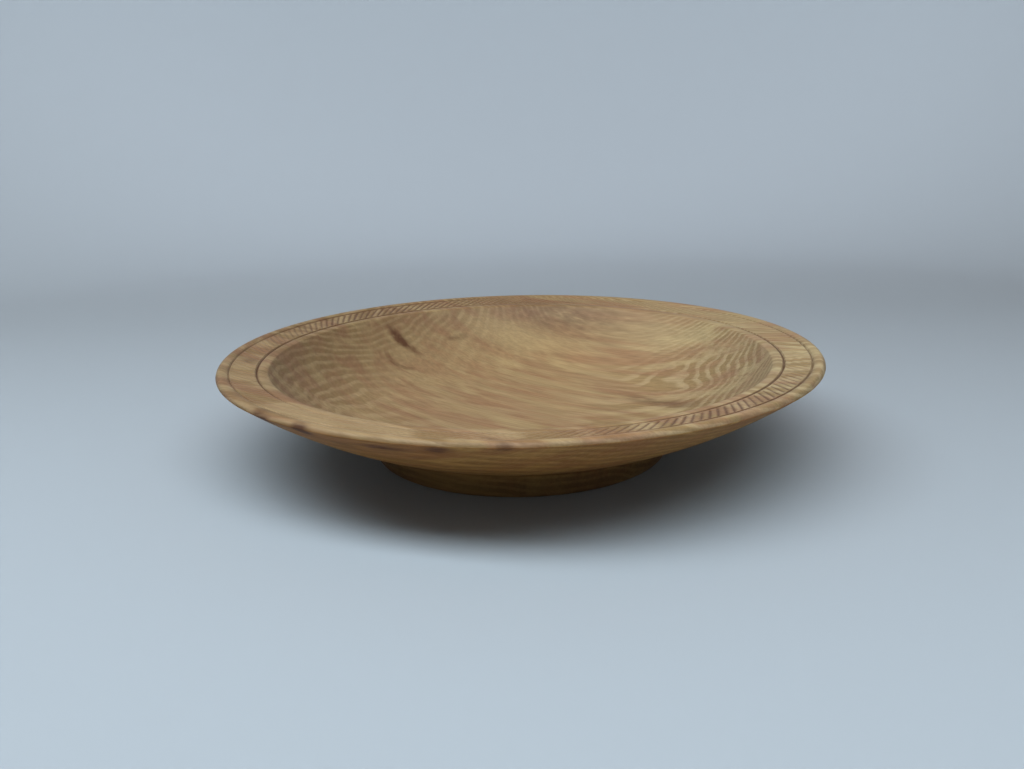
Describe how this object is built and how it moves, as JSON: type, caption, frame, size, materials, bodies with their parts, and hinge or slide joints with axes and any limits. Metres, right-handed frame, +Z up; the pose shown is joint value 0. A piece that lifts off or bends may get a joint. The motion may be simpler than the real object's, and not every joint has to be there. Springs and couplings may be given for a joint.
{
  "type": "turned platter",
  "caption": "Shallow turned wooden platter on a low round foot, with a broad rim carrying a ring of slanting cuts between two grooves.",
  "frame": {"origin": "centre of the circle that the foot stands on", "axes": "+Z up along the lathe's axis, out of the dish; +X to the right and +Y to the back of the side the grain was placed for"},
  "size_m": [0.25, 0.25, 0.0436],
  "materials": {
    "oiled_elm": "satin"
  },
  "bodies": {
    "root": {"platter": "oiled_elm"}
  },
  "joints": []
}
